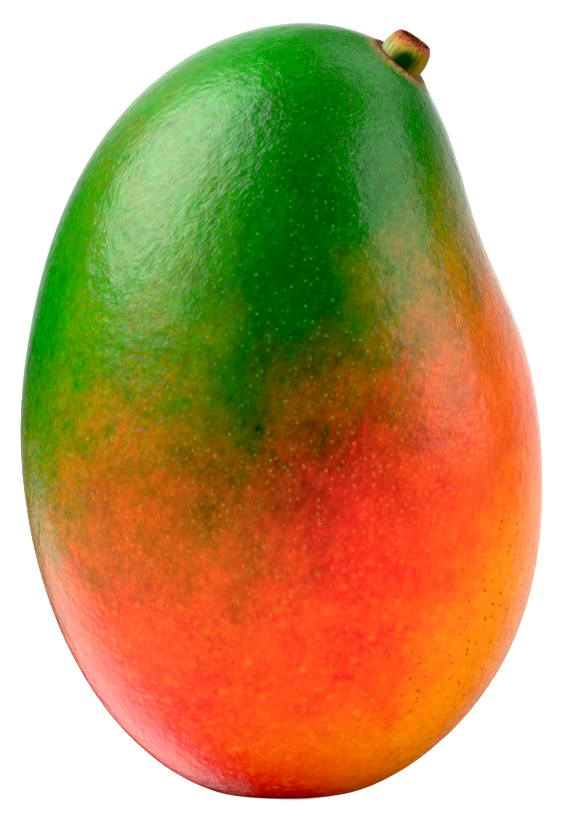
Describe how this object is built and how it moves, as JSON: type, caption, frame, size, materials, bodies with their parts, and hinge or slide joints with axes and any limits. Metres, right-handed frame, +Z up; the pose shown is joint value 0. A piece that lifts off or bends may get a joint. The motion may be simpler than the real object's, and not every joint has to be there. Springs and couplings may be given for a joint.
{
  "type": "mango",
  "caption": "Ripe whole mango, green over the shoulders and orange-red below, with a short cut stub of stem, standing upright on a small flat spot.",
  "frame": {"origin": "middle of the fruit's base, on the small flat spot that it stands on", "axes": "+Z up along the fruit's length, towards the stem; +X towards the side that the stem leans to, with the fold in the peel; -Y and +Y towards the two broad cheeks"},
  "size_m": [0.085, 0.075, 0.1259],
  "materials": {
    "peel": "waxy peel, satin gloss, shading from green through orange-red to yellow-orange, with fine pale dots",
    "stem": "matt yellow-olive stem with a rough brown cut"
  },
  "bodies": {
    "root": {"fruit": "peel", "stem_stub": "stem"}
  },
  "joints": []
}
